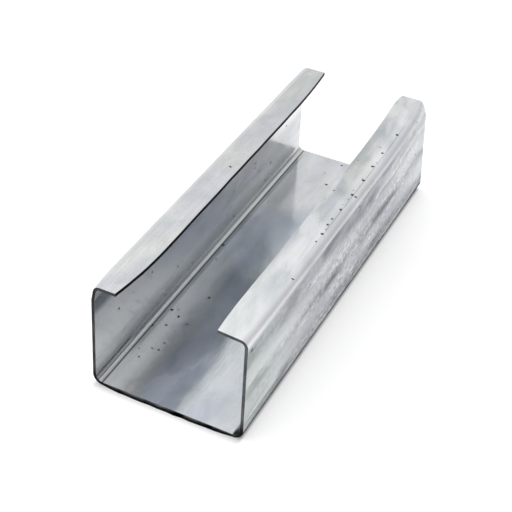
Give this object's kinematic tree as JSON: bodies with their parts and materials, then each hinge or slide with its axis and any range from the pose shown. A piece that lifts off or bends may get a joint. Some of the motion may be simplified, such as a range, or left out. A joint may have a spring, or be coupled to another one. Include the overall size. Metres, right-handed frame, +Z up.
{
  "type": "lipped c purlin",
  "caption": "Short length of roll-formed galvanised steel lipped C section, lying on its web with the slot between its lips upwards.",
  "frame": {"origin": "on the floor, under the middle of the web", "axes": "+X across the web, +Y along the length, +Z up from the web to the lips"},
  "size_m": [0.075, 0.215, 0.056],
  "materials": {
    "galvanised_steel": "hot-dip galvanised and skin-passed, smooth and half glossy, bare steel at the cut ends"
  },
  "bodies": {
    "root": {"purlin": "galvanised_steel"}
  },
  "joints": []
}
